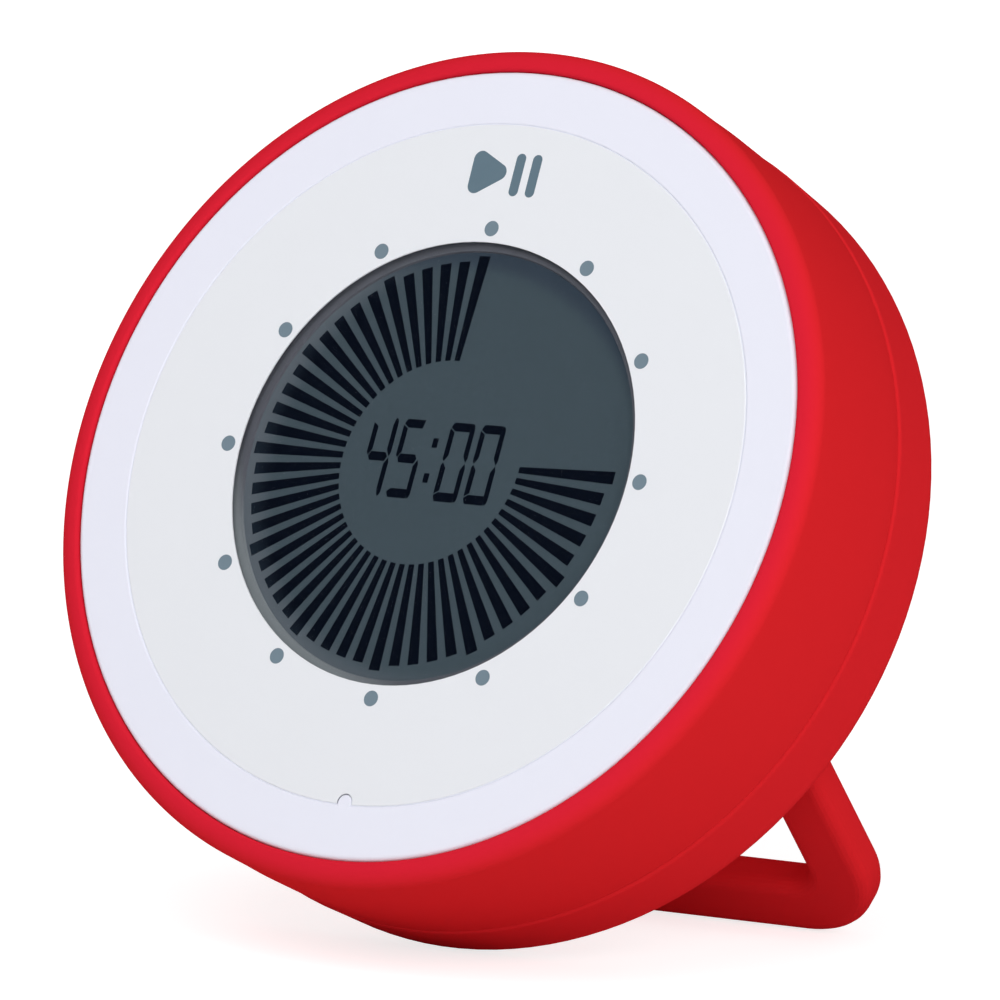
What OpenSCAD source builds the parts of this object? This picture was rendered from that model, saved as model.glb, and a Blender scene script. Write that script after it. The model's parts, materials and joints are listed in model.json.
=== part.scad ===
// Visual countdown timer: a round timer whose outer ring is twisted to set the time. It leans
// back on a fold-out stand, or hangs by the magnets in its flat back.
//
// Every sub-part is drawn lying on its back: x to the right and y up the face, with z = 0 on the
// printed face and z pointing out of it. standing() then leans the timer back onto its stand.

/* [Body] */
// Largest diameter, across the twist ring
body_d = 86.8; // [85.8:0.2:88]
// Depth of the twist ring behind the face
ring_depth = 16.4; // [16.2:0.1:16.8]
// Depth of the whole body behind the face
body_depth = 25.8; // [25.6:0.1:26.6]
// Draft of the side wall, in degrees
draft = 2.2; // [1:0.1:2.6]
// Rounding of the rear rim
rim_r = 2.4; // [1.8:0.1:2.6]
// Lean of the face back from upright, in degrees
lean = 25.5; // [20:0.5:30]

/* [Face] */
// Radius of the round display window
window_r = 23; // [20:0.5:24]
// Radius of the printed face disc
disc_r = 35.3; // [35:0.1:35.4]
// Outer radius of the white front ring
bezel_r = 40.9; // [40.5:0.1:41]
// How far the icon sinks when it is pressed
press_travel = 0.25; // [0.2:0.01:0.3]

/* [Stand] */
// Outer width of the stand
stand_w = 67.6; // [64:0.4:68]
// Width of the stand's bar
bar_w = 6.9; // [6:0.1:7.2]
// Thickness of the stand's bar
bar_t = 4.2; // [3.6:0.1:4.3]
// Outer radius of the stand's two corners
bar_corner_r = 10.2; // [9:0.1:11]
// Angle that the stand swings through, in degrees
stand_swing = 115.1; // [112:0.5:118]

/* [Back] */
// Height of the stand's hinge, measured from the middle of the back
hinge_y = -15.9; // [-16.5:0.1:-15.5]
// Diameter of each magnet
magnet_d = 9; // [8:0.5:9]
// Thickness of each magnet
magnet_t = 3; // [2:0.5:3]
// Travel of the volume slider to each side
slider_travel = 2; // [1.5:0.1:2.2]

/* [Drive] */
// Play between the flanks of the two gears
backlash = 0.15; // [0.1:0.01:0.2]

/* [Hidden] */
$fn = 96;
eps = 0.01;

// Outside of the body
side_start = 8;               // depth at which the draft begins
side_top_r = body_d / 2 - 0.07;
seam = 0.3;                   // gap seen between the ring and the rear shell
lip_out = [1.97, 1.65];       // half axes of the lip's outer rounding
lip_crown = 0.2;              // the lip's crown stands this far proud of the face
core_r = 41.2;                // joint between the coloured sleeve and its core
edge_r = 0.35;                // small edge rounding
shell_edge_r = 0.6;           // rounding of the rear shell's front edge
shell_step = 0.1;             // that edge stands this far proud of the ring
shell_t = 2;                  // wall of the rear shell

// Levels behind the face
z_overlay = -0.15;            // back of the printed overlay
z_lens = -0.5;                // back of the lens
z_mask = -0.8;                // front of the display's mask
z_plate = -2;                 // back of the face plate
z_lcd = -1;                   // front of the display
z_deck = -2.55;               // front of the chassis deck
z_deck_back = -3.8;
z_flange = [-3, -3.9];        // front flange of the chassis
z_core = -3.2;                // front of the ring core
z_board = [-5.3, -6.5];       // main board, front and back
z_gear = [-11.3, -15.9];      // toothed band of the ring core
z_back = -body_depth;
z_shell = -(ring_depth + seam);
z_floor = z_back + shell_t;   // inner floor of the rear shell

// Chassis and ring fit
wall_r = [35.8, 37.4];        // chassis wall, inside and outside
flange_r = 38.9;
run_gap = 0.1;                // radial gap of the running fit

// Display
glass = [49, 52];             // front glass, with the contact ledge at its lower edge
glass_y = -1.5;
ledge = 3;
glass_cut = 10;               // corner cut of the glass
zebra_half = 14;
zebra_y = glass_y - glass[1] / 2 + ledge / 2 + 0.1;

// Face plate pivot and switch
pivot = [-31.6, -4.8];        // y and z of the pivot axis
pivot_r = 0.9;
pivot_x = 9.5;                // inner side of each pivot arm
hook_x = [13, 15];            // snap hooks at the face plate's upper end
hook_y = 30.1;
switch_y = 28.6;
switch_top = -3.05;           // top of the plunger
switch_play = 0.03;           // between the plunger and its post
key_r = 0.8;                  // key and notch at six o'clock
key_y = -disc_r + 0.2;
disc_gap = 0.06;              // round the printed disc
disc_edge_r = 0.1;            // its edge rounding
bezel_edge_r = [0.2, 0.5];    // inner and outer edge of the white ring
press_angle = atan(press_travel / (switch_y - pivot[0]));

// Screws and bosses, right side; the left side mirrors them
case_screws = [[25, 21], [22.5, -25.5]];
board_screws = [[28.3, 6], [25.8, -14]];
screw_r = 1.1;
screw_head_r = 2;
boss_r = 2.7;

// Battery tray
cell_r = 5.25;
cell_l = 44.5;
cell_y = -9.5;                // between the two cells
cell_gap = 0.4;
cell_z = z_back + 1.4 + 0.2 + cell_r;
tray = [24.9, 11.1];          // half length and half width inside
tray_wall = 1.2;
tray_top = cell_z + cell_r + 0.2;
door = [25.2, -21.6, 6.1];    // half width, lower and upper edge
door_t = 1.4;
door_r = 2;                   // upper corners
door_gap = 0.25;
door_screw_y = 4;
tongue = [8, 14];             // from the middle, along x
tongue_reach = 1.2;
contact_t = 0.4;
contact_half = 4.4;
cell_dy = cell_r + cell_gap / 2;
tab = [1, tray_top + tray_wall + 1.1];  // half width and top of a solder tab

// Stand and its recess
bar_edge = 1.4;
stand_r = bar_t / 2;
hinge_z = z_back + 0.2 + stand_r;
stub_r = 1;
stub_l = 2.8;
recess_gap = 0.5;
recess_z = hinge_z + stand_r + 0.3;
recess_x = [stand_w / 2 - bar_w - recess_gap, stand_w / 2 + recess_gap];
swing_dir = [cos(stand_swing), -sin(stand_swing)];  // y and z of the opened leg

// Back furniture
magnets = [[19, 27], [16, -29.5]];
slider_y = -30.5;
slider_cap = [1.6, 1.9];      // half length and half width
slider_stem = [1.1, 0.9];
slider_slot = slider_stem + [slider_travel + 0.2, 0.4];
z_vol = z_floor + 3.2;        // back of the volume board
piezo_y = 27;
piezo_r = 10;
z_piezo = -19;                // outer side of the sounder's disc
terminal = [2.5, 1.5];        // half length and half width of a terminal on the board
terminal_y = -20;

// Encoder pinion, driven by teeth inside the twist ring
ring_teeth = 96;
pinion_teeth = 12;
gear_m = 0.8;
pitch_ring = ring_teeth * gear_m / 2;
pitch_pinion = pinion_teeth * gear_m / 2;
pinion_x = -(pitch_ring - pitch_pinion);
pressure_angle = 20;
axle_r = 0.75;

// Standing pose: the rear rim and the stand's crossbar rest on z = 0
rim_centre = [side_r(body_depth - rim_r) - rim_r, body_depth - rim_r];
lift = rim_centre[0] * cos(lean) + rim_centre[1] * sin(lean) + rim_r;
leg_down = -(swing_dir[0] * cos(lean) + swing_dir[1] * sin(lean));
leg_side = swing_dir[0] * sin(lean) - swing_dir[1] * cos(lean);
bar_reach = leg_down * (bar_w / 2 - bar_edge) + leg_side * (bar_t / 2 - bar_edge) + bar_edge;
stand_l = (lift + hinge_y * cos(lean) + hinge_z * sin(lean) - bar_reach) / leg_down;
lip_centre = [body_d / 2 - lip_out[0], lip_crown - lip_out[1]];
front_y = -lip_centre[0] * sin(lean) - lip_centre[1] * cos(lean)
    - norm([lip_out[0] * sin(lean), lip_out[1] * cos(lean)]);
rear_y = rim_centre[0] * sin(lean) + rim_centre[1] * cos(lean) + rim_r;

// ---- Functions ----

// Radius of the side wall at a depth behind the face
function side_r(depth) = side_top_r - max(depth - side_start, 0) * tan(draft);

// Points of an arc, or of part of an ellipse when r is a pair
function arc(centre, r, from, to, steps) = [
    for (i = [0 : steps])
        let (a = from + (to - from) * i / steps, q = is_list(r) ? r : [r, r])
            [centre[0] + q[0] * cos(a), centre[1] + q[1] * sin(a)]
];

// Rectangle of full size w by h with its corners cut by c
function cut_rect(w, h, c) = [
    [w / 2, h / 2 - c], [w / 2 - c, h / 2], [c - w / 2, h / 2], [-w / 2, h / 2 - c],
    [-w / 2, c - h / 2], [c - w / 2, -h / 2], [w / 2 - c, -h / 2], [w / 2, c - h / 2]
];

// Rounded cross-section of the stand's bar
function bar_section() = [
    for (k = [0 : 3])
        let (sx = (k == 0 || k == 3) ? 1 : -1, sy = k < 2 ? 1 : -1)
            for (p = arc([sx * (bar_w / 2 - bar_edge), sy * (bar_t / 2 - bar_edge)],
                         bar_edge, 90 * k, 90 * k + 90, 5)) p
];

// Involute function of an angle in degrees
function inv(a) = tan(a) - a * PI / 180;

// Half the angle of a gear tooth at radius r, in degrees
function tooth_half(teeth, r, play) =
    let (pitch = teeth * gear_m / 2, base = pitch * cos(pressure_angle))
        (PI * gear_m / 2 + play) / (2 * pitch) * 180 / PI
        + (inv(pressure_angle) - inv(acos(min(base / r, 1)))) * 180 / PI;

// Outline of an external gear with its flanks sampled at the given radii
function gear_outline(teeth, radii, play) = [
    for (t = [0 : teeth - 1])
        for (k = [0 : 2 * len(radii) - 1])
            let (up = k < len(radii),
                 r = radii[up ? k : 2 * len(radii) - 1 - k],
                 a = 360 * t / teeth + (up ? -1 : 1) * tooth_half(teeth, r, play))
                r * [cos(a), sin(a)]
];

function unit(v) = v / norm(v);

// Points and directions along a smooth curve with four control points
function lead_path(p, steps) = [
    for (i = [0 : steps])
        let (t = i / steps, s = 1 - t)
            [s * s * s * p[0] + 3 * s * s * t * p[1] + 3 * s * t * t * p[2] + t * t * t * p[3],
             unit(s * s * (p[1] - p[0]) + 2 * s * t * (p[2] - p[1]) + t * t * (p[3] - p[2]))]
];

// Points and directions along a conical coil about z, with a flat stretch at both ends
function coil_path(r, length, turns, flat, steps) = [
    for (i = [0 : turns * steps])
        let (t = i / (turns * steps), a = 360 * i / steps, q = r[0] + (r[1] - r[0]) * t,
             rise = min(max((t - flat) / (1 - 2 * flat), 0), 1))
            [[q * cos(a), q * sin(a), length * rise], [-sin(a), cos(a), 0]]
];

// ---- Helpers ----

module standing() {
    translate([0, -(front_y + rear_y) / 2, lift])
        rotate([90 - lean, 0, 0])
            children();
}

module disc(r, z0, z1, at = [0, 0]) {
    translate([at[0], at[1], min(z0, z1)])
        cylinder(r = r, h = abs(z1 - z0));
}

module tube(r_in, r_out, z0, z1, at = [0, 0]) {
    difference() {
        disc(r_out, z0, z1, at);
        disc(r_in, min(z0, z1) - 1, max(z0, z1) + 1, at);
    }
}

module block(x0, x1, y0, y1, z0, z1) {
    translate([x0, y0, min(z0, z1)])
        cube([x1 - x0, y1 - y0, abs(z1 - z0)]);
}

module both_sides() {
    children();
    mirror([1, 0, 0]) children();
}

// Plate from y0 to y1 with its two upper corners rounded
module slab(half_w, y0, y1, r, z0, z1) {
    block(-half_w, half_w, y0, y1 - r, z0, z1);
    block(r - half_w, half_w - r, y1 - r - eps, y1, z0, z1);
    both_sides() disc(r, z0, z1, [half_w - r, y1 - r]);
}

module plate(points, z0, z1, at_y = 0) {
    translate([0, at_y, min(z0, z1)])
        linear_extrude(abs(z1 - z0))
            polygon(points);
}

module screw(at, z_head, head_t, head_r, shank_r, z_tip) {
    disc(head_r, z_head, z_head + head_t, at);
    disc(shank_r, z_head + head_t - eps, z_tip, at);
}

// Rod along x between x0 and x1
module rod(r, x0, x1, y, z) {
    translate([x0, y, z])
        rotate([0, 90, 0])
            cylinder(r = r, h = x1 - x0, $fn = 48);
}

// Round wire along a path; side is a direction that the path never takes
module wire(path, r, side) {
    sides = 6;
    rings = [
        for (step = path)
            let (u = unit(cross(step[1], side)), v = cross(step[1], u))
                for (k = [0 : sides - 1])
                    step[0] + r * (cos(360 * k / sides) * u + sin(360 * k / sides) * v)
    ];
    last = (len(path) - 1) * sides;
    walls = [
        for (i = [0 : sides : last - sides])
            for (k = [0 : sides - 1])
                let (a = i + k, b = i + (k + 1) % sides)
                    each [[a, b + sides, b], [a, a + sides, b + sides]]
    ];
    ends = [[for (k = [0 : sides - 1]) k], [for (k = [sides - 1 : -1 : 0]) last + k]];
    polyhedron(rings, concat(walls, ends));
}

// ---- Twist ring ----

module grip_sleeve() {
    z_end = -ring_depth;
    end_r = side_r(ring_depth);
    profile = concat(
        [[core_r, z_end]],
        [[core_r, lip_crown - edge_r]],
        arc([core_r + edge_r, lip_crown - edge_r], edge_r, 180, 90, 4),
        arc(lip_centre, lip_out, 90, 0, 14),
        [[side_top_r, -side_start]],
        arc([end_r - edge_r, z_end + edge_r], edge_r, 0, -90, 4)
    );
    color([0.83, 0.13, 0.18]) standing()
        rotate_extrude() polygon(profile);
}

module ring_core() {
    z_end = z_gear[1] - seam;
    root_r = pitch_ring + gear_m + 0.1;
    tip_r = pitch_ring - 0.6 * gear_m;
    land_r = wall_r[1] + run_gap;
    land_z = z_flange[1] - 0.2;
    land_t = 2.2;
    color([0.2, 0.2, 0.22]) standing()
        difference() {
            disc(core_r, z_core, z_end);
            disc(root_r, z_core + 1, land_z);
            // the two lands that run on the chassis wall, with a relief between them
            disc(land_r, z_core + 1, z_gear[0] - eps);
            disc(root_r, land_z - land_t, z_gear[0] + 1);
            plate(gear_outline(ring_teeth, [tip_r, pitch_ring + 0.2, root_r], backlash), z_gear[0], z_end - 1);
        }
}

// ---- Face ----

// White front ring with the ledge that carries the lens; it rocks on two pivot arms
module bezel_plate() {
    hole = cut_rect(glass[0] + 3.4, glass[1] + 3.4, glass_cut + 0.5);
    arm_t = 2;
    arm_r = 1.6;
    skirt_z = -2.6;
    post_r = 1.2;
    hook_z = -4.8;
    profile = concat(
        [[disc_r + disc_gap, z_lens]],
        arc([disc_r + disc_gap + bezel_edge_r[0], -bezel_edge_r[0]], bezel_edge_r[0], 180, 90, 4),
        arc([bezel_r - bezel_edge_r[1], -bezel_edge_r[1]], bezel_edge_r[1], 90, 0, 6),
        [[bezel_r, skirt_z], [bezel_r - 1.7, skirt_z], [bezel_r - 1.7, z_plate], [0, z_plate], [0, z_lens]]
    );
    color([0.93, 0.94, 0.97]) standing() {
        difference() {
            rotate_extrude() polygon(profile);
            plate(hole, 1, z_plate - 1, glass_y);
        }
        // key that locates the lens at six o'clock
        disc(key_r, z_lens - eps, -disc_edge_r, [0, key_y]);
        translate([0, key_y, -disc_edge_r - eps])
            cylinder(r1 = key_r, r2 = key_r - disc_edge_r, h = disc_edge_r + eps);
        // post over the switch
        disc(post_r, z_plate + eps, switch_top + switch_play, [0, switch_y]);
        both_sides() {
            // pivot arm and pin
            block(pivot_x, pivot_x + arm_t, pivot[0] - arm_r, pivot[0] + arm_r, z_plate + eps, pivot[1]);
            rod(arm_r, pivot_x, pivot_x + arm_t, pivot[0], pivot[1]);
            rod(pivot_r, pivot_x + arm_t - eps, pivot_x + arm_t + 2.2, pivot[0], pivot[1]);
            // snap hook that limits the upward play
            block(hook_x[0], hook_x[1], hook_y, hook_y + 1.2, z_plate + eps, hook_z);
            block(hook_x[0], hook_x[1], hook_y + 1.2 - eps, hook_y + 1.9, z_deck_back - 0.08, hook_z);
        }
    }
}

// Printed disc; its outer edge is slightly rounded
module face_overlay() {
    profile = concat(
        [[window_r, 0], [window_r, z_overlay], [disc_r, z_overlay]],
        arc([disc_r - disc_edge_r, -disc_edge_r], disc_edge_r, 0, 90, 3)
    );
    color([0.9, 0.9, 0.92]) standing()
        difference() {
            rotate_extrude() polygon(profile);
            disc(key_r + 0.1, z_overlay - 1, 1, [0, key_y]);
        }
}

module lens() {
    color([0.8, 0.85, 0.88, 0.4]) standing()
        difference() {
            disc(disc_r, z_lens, z_overlay);
            disc(key_r + 0.1, z_lens - 1, 0, [0, key_y]);
        }
}

// ---- Display ----

module front_polariser() {
    color([0.3, 0.34, 0.36]) standing()
        plate(cut_rect(glass[0] - 1, glass[1] - ledge - 1, glass_cut - 0.5), z_lcd - 0.2, z_lcd,
              glass_y + ledge / 2);
}

module front_glass() {
    color([0.6, 0.7, 0.7]) standing()
        plate(cut_rect(glass[0], glass[1], glass_cut), z_lcd - 0.75, z_lcd - 0.2, glass_y);
}

module rear_glass() {
    color([0.6, 0.7, 0.7]) standing()
        plate(cut_rect(glass[0], glass[1] - ledge, glass_cut + 0.2), z_lcd - 1.3, z_lcd - 0.75,
              glass_y + ledge / 2);
}

module rear_reflector() {
    color([0.6, 0.62, 0.6]) standing()
        plate(cut_rect(glass[0] - 1, glass[1] - ledge - 1, glass_cut - 0.6), z_deck, z_lcd - 1.3,
              glass_y + ledge / 2);
}

// Frame round the glass; its front is a mask with a flared round opening
module lcd_frame() {
    wall = 1.1;
    fit = 0.1;
    mask_r = window_r - 0.8;
    flare_r = window_r + 0.3;
    color([0.12, 0.12, 0.13]) standing()
        difference() {
            plate(cut_rect(glass[0] + 2 * wall, glass[1] + 2 * wall, glass_cut + 0.5),
                  z_deck, z_mask, glass_y);
            plate(cut_rect(glass[0] + 2 * fit, glass[1] + 2 * fit, glass_cut),
                  z_deck - 1, z_lcd, glass_y);
            disc(mask_r, z_lcd - 1, 0);
            translate([0, 0, z_lcd])
                cylinder(r1 = mask_r, r2 = flare_r, h = z_mask - z_lcd);
            translate([0, 0, z_mask - eps])
                cylinder(r = flare_r, h = 1);
        }
}

module zebra_strip() {
    color([0.75, 0.4, 0.3]) standing()
        block(-zebra_half, zebra_half, zebra_y - 1, zebra_y + 1, z_board[0], z_lcd - 0.75);
}

// ---- Chassis ----

module chassis() {
    deck_r = 34.9;
    standoff_r = 2;
    ear = [pivot_x + 2.4, pivot_x + 4.6];
    ear_y = [pivot[0] - 1.9, pivot[0] + 1.5];
    rib_x = 20;
    window_half = 5.7;
    window_z = z_gear[0] + 0.6;
    switch_half = 2.6;
    cut = [z_deck + 1, z_deck_back - 1];
    color([0.85, 0.85, 0.87]) standing()
        difference() {
            union() {
                tube(wall_r[0], wall_r[1], z_flange[0], z_shell);
                tube(wall_r[0], flange_r, z_flange[0], z_flange[1]);
                disc(deck_r, z_deck, z_deck_back);
                tube(deck_r - 0.1, wall_r[0] + eps, z_flange[0], z_deck_back);
                both_sides() {
                    for (p = case_screws) disc(boss_r, z_deck_back + eps, z_shell, p);
                    for (p = board_screws) disc(standoff_r, z_deck_back + eps, z_board[0], p);
                    block(ear[0], ear[1], ear_y[0], ear_y[1], z_deck_back + eps, pivot[1] - 1.7);
                    // stiffening rib between the deck and the board
                    block(rib_x - 0.5, rib_x + 0.5, -20, 21, z_deck_back + eps, z_board[0] + 0.2);
                }
            }
            // slots for the zebra strip and the switch
            block(-zebra_half - 0.4, zebra_half + 0.4, zebra_y - 1.3, zebra_y + 1.3, cut[0], cut[1]);
            block(-switch_half, switch_half, switch_y - switch_half, switch_y + switch_half, cut[0], cut[1]);
            both_sides() {
                // slots for the pivot arms and the snap hooks
                block(pivot_x - 0.4, ear[0], ear_y[0], pivot[0] + 2.1, cut[0], cut[1]);
                block(hook_x[0] - 0.4, hook_x[1] + 0.4, hook_y - 0.4, hook_y + 1.5, cut[0], cut[1]);
                rod(pivot_r + 0.05, ear[0] - 1, ear[1] + 1, pivot[0], pivot[1]);
                for (p = case_screws) disc(screw_r, z_shell - 1, z_shell + 9, p);
                for (p = board_screws) disc(0.8, z_board[0] - 1, z_deck - 0.4, p);
            }
            // window through which the pinion meets the ring, and clearance around the pinion
            block(-wall_r[1] - 2, -wall_r[0] + 2, -window_half, window_half, window_z, z_shell - 1);
            disc(pitch_pinion + gear_m + 0.3, window_z, z_shell - 1, [pinion_x, 0]);
        }
}

// ---- Rear shell ----

module shell_outside() {
    start_r = side_r(-z_shell) + shell_step;
    profile = concat(
        [[0, z_shell]],
        arc([start_r - shell_edge_r, z_shell - shell_edge_r], shell_edge_r, 90, 0, 6),
        arc([rim_centre[0], -rim_centre[1]], rim_r, -draft, -90, 10),
        [[0, z_back]]
    );
    rotate_extrude() polygon(profile);
}

module shell_inside() {
    in_r = rim_centre[0] + rim_r - shell_t;
    round_r = rim_r - 0.6;
    profile = concat(
        [[0, z_shell + 1], [side_r(-z_shell) - shell_t, z_shell + 1]],
        arc([in_r - round_r, z_floor + round_r], round_r, 0, -90, 5),
        [[0, z_floor]]
    );
    rotate_extrude() polygon(profile);
}

// U-shaped recess that takes the folded stand
module stand_recess(grow, z_top) {
    top_y = hinge_y + stand_l + bar_w / 2 + recess_gap;
    low_y = hinge_y - stand_r - 0.2;
    island_y = hinge_y + stand_l - bar_w / 2 - recess_gap;
    difference() {
        slab(recess_x[1] + grow, low_y - grow, top_y + grow, bar_corner_r + recess_gap, z_back - 1, z_top);
        slab(recess_x[0] - grow, low_y - grow - 1, island_y - grow, 2.8, z_back - 2, z_top + 1);
    }
}

// Sloping stop that the opened legs lean on
module leg_stop_cut() {
    gap = 0.08;
    face = [hinge_y, hinge_z] + (stand_r + gap) * [swing_dir[1], -swing_dir[0]];
    foot = face + 5 * swing_dir;
    start = face + 0.6 * swing_dir;
    both_sides()
        translate([recess_x[0], 0, 0])
            rotate([90, 0, 90])
                linear_extrude(recess_x[1] - recess_x[0])
                    polygon([start, foot, [hinge_y, foot[1]], [hinge_y, start[1]]]);
}

module rear_shell() {
    stop_t = 1.5;
    scoop_r = 8;
    sound_r = 0.75;
    slider_room = slider_cap + [slider_travel + 0.4, 0.3];
    scoop = [0, hinge_y + stand_l + bar_w / 2 + recess_gap - 1, z_back - 5.2];
    color([0.8, 0.12, 0.16]) standing()
        difference() {
            union() {
                difference() {
                    shell_outside();
                    shell_inside();
                }
                intersection() {
                    shell_outside();
                    union() {
                        // walls of the stand's recess, and the blocks that hold its stubs
                        stand_recess(stop_t, recess_z + stop_t);
                        both_sides()
                            block(recess_x[1], 40, hinge_y - 4, hinge_y + 4, z_back, recess_z + stop_t);
                        // battery tray
                        block(-tray[0] - stop_t, tray[0] + stop_t, cell_y - tray[1] - tray_wall,
                              cell_y + tray[1] + tray_wall, z_back, z_shell);
                        // pockets for the door's tongues
                        both_sides()
                            block(tongue[0] - 1, tongue[1] + 1, door[1] - 2.6, cell_y - tray[1],
                                  z_back, z_back + 3.6);
                        // door screw boss
                        disc(2.2, z_back, z_shell - 3, [0, door_screw_y]);
                        // shelf under the ring and the chassis wall
                        tube(wall_r[0], core_r, z_shell, z_shell - 1.5);
                        // chamber of the sounder
                        tube(piezo_r - 1, piezo_r + 1.2, z_floor - eps, z_piezo, [0, piezo_y]);
                        // back of the thumb scoop
                        translate(scoop) sphere(r = scoop_r + 1.2);
                        both_sides() {
                            for (p = case_screws) disc(boss_r, z_back, z_shell, p);
                            for (p = magnets) disc(magnet_d / 2 + 1.2, z_back, z_back + magnet_t + 1.2, p);
                        }
                        // ribs that stiffen the floor
                        both_sides() {
                            block(11.7, 12.7, 16, core_r, z_floor - eps, z_floor + 2.5);
                            for (y = [-12, 0])
                                block(recess_x[1], core_r, y - 0.5, y + 0.5, z_floor - eps, recess_z);
                        }
                        // posts of the volume board
                        both_sides() disc(1.5, z_floor - eps, z_floor + 3.2, [9.5, slider_y]);
                    }
                }
                // axle boss, just short of the pinion
                disc(2.4, z_floor - eps, z_gear[1] - 0.1, [pinion_x, 0]);
                // upper part of the battery tray, ahead of the seam
                block(-tray[0] - stop_t, tray[0] + stop_t, cell_y - tray[1] - tray_wall,
                      cell_y + tray[1] + tray_wall, z_shell - eps, tray_top + tray_wall);
            }
            stand_recess(0, recess_z);
            leg_stop_cut();
            both_sides() rod(stub_r + 0.05, recess_x[1] - 1, recess_x[1] + stub_l - 0.2, hinge_y, hinge_z);
            // thumb scoop above the folded crossbar
            translate(scoop) sphere(r = scoop_r);
            // room for the cells and the opening that the door closes
            block(-tray[0], tray[0], cell_y - tray[1], cell_y + tray[1], z_back + door_t, tray_top);
            slab(door[0] + door_gap, door[1] - door_gap, door[2] + door_gap, door_r + door_gap,
                 z_back - 1, z_back + door_t);
            // pockets under the lower edge for the door's two tongues
            both_sides()
                block(tongue[0] - door_gap, tongue[1] + door_gap, door[1] - tongue_reach - 0.2, door[1] + 1,
                      z_back + door_t - eps, z_back + door_t + 1.2);
            // slots for the solder tabs
            for (y = [cell_y + cell_dy, cell_y - cell_dy])
                block(tray[0] - contact_t - 0.1, tray[0], y - tab[0] - 0.1, y + tab[0] + 0.1,
                      tray_top - 1, tray_top + tray_wall + 1);
            disc(0.9, z_back, z_shell - 4, [0, door_screw_y]);
            // magnet pockets, screw holes and their counterbores
            both_sides() {
                for (p = magnets) disc(magnet_d / 2, z_back - 1, z_back + magnet_t, p);
                for (p = case_screws) {
                    disc(screw_r + 0.1, z_back - 1, z_shell + 1, p);
                    disc(screw_head_r + 0.15, z_back - 1, z_back + 2, p);
                }
            }
            // sound holes
            for (a = [0 : 60 : 300])
                disc(sound_r, z_back - 1, z_floor + 1, [4 * cos(a), piezo_y + 4 * sin(a)]);
            disc(sound_r, z_back - 1, z_floor + 1, [0, piezo_y]);
            // volume slider: recess, slot and the switch's own hole
            block(-slider_room[0], slider_room[0], slider_y - slider_room[1], slider_y + slider_room[1],
                  z_back - 1, z_back + 1.1);
            block(-slider_slot[0], slider_slot[0], slider_y - slider_slot[1], slider_y + slider_slot[1],
                  z_back - 1, z_floor + 1);
            // axle hole
            disc(axle_r, z_shell - 4, z_shell + 1, [pinion_x, 0]);
        }
}

module battery_door() {
    color([0.8, 0.12, 0.16]) standing()
        difference() {
            union() {
                slab(door[0], door[1], door[2], door_r, z_back, z_back + door_t);
                both_sides()
                    block(tongue[0], tongue[1], door[1] - tongue_reach, door[1] + 1,
                          z_back + door_t - eps, z_back + door_t + 1);
            }
            disc(1.1, z_back - 1, z_back + 5, [0, door_screw_y]);
            disc(1.9, z_back - 1, z_back + 0.8, [0, door_screw_y]);
            // finger grip lines
            for (i = [0 : 3])
                block(-6, 6, door[1] + 3 + 1.6 * i, door[1] + 3.7 + 1.6 * i, z_back - 1, z_back + 0.4);
        }
}

module door_screw() {
    color([0.7, 0.7, 0.72]) standing()
        screw([0, door_screw_y], z_back + 0.1, 0.7, 1.8, 0.9, z_back + 5);
}

module case_screws() {
    color([0.7, 0.7, 0.72]) standing()
        both_sides()
            for (p = case_screws) screw(p, z_back + 0.5, 1.5, screw_head_r, screw_r, z_shell + 8);
}

module magnets() {
    color([0.75, 0.75, 0.77]) standing()
        both_sides()
            for (p = magnets) disc(magnet_d / 2, z_back, z_back + magnet_t, p);
}

// ---- Electronics ----

module main_board() {
    color([0.1, 0.35, 0.2]) standing()
        difference() {
            disc(31.4, z_board[0], z_board[1]);
            block(-40, 40, -40, -28.9, z_board[0] + 1, z_board[1] - 1);
            both_sides() {
                for (p = case_screws) disc(boss_r + 0.3, z_board[0] + 1, z_board[1] - 1, p);
                for (p = board_screws) disc(0.9, z_board[0] + 1, z_board[1] - 1, p);
            }
        }
}

module board_screws() {
    color([0.7, 0.7, 0.72]) standing()
        both_sides()
            for (p = board_screws) screw(p, z_board[1] - 0.8, 0.8, 1.6, 0.8, z_deck - 0.8);
}

// Chip under its drop of black resin
module controller() {
    profile = concat([[0, 0]], arc([0, 0], [6.5, 1.6], 0, 90, 8));
    color([0.08, 0.08, 0.09]) standing()
        translate([0, 4, z_board[1]])
            mirror([0, 0, 1])
                rotate_extrude() polygon(profile);
}

module board_parts() {
    color([0.6, 0.55, 0.45]) standing() {
        // watch crystal lying on its side
        rod(1, 11, 17, -6, z_board[1] - 1);
        // electrolytic capacitor
        disc(2.5, z_board[1] - 5, z_board[1], [14, 12]);
        // row of small resistors and capacitors
        for (i = [0 : 5])
            block(-15 + 3.4 * i, -13 + 3.4 * i, 16, 17.2, z_board[1] - 0.6, z_board[1]);
        for (i = [0 : 3])
            block(-17, -15.8, -10 + 3.4 * i, -8 + 3.4 * i, z_board[1] - 0.6, z_board[1]);
        // terminals for the battery, sounder and volume leads
        for (x = [-8, 0, 8])
            block(x - terminal[0], x + terminal[0], terminal_y - terminal[1], terminal_y + terminal[1],
                  z_board[1] - 3, z_board[1]);
    }
}

module hall_sensor() {
    color([0.08, 0.08, 0.09]) standing()
        block(-29.9, -28.3, -1.5, 1.5, z_board[1] - 1, z_board[1]);
}

module tact_switch() {
    color([0.15, 0.15, 0.16]) standing()
        difference() {
            block(-2.25, 2.25, switch_y - 2.25, switch_y + 2.25, z_board[0], -3.7);
            disc(1.06, z_board[0] + 0.5, 0, [0, switch_y]);
        }
}

module tact_plunger() {
    color([0.8, 0.8, 0.78]) standing()
        disc(1, -4.3, switch_top, [0, switch_y]);
}

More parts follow.
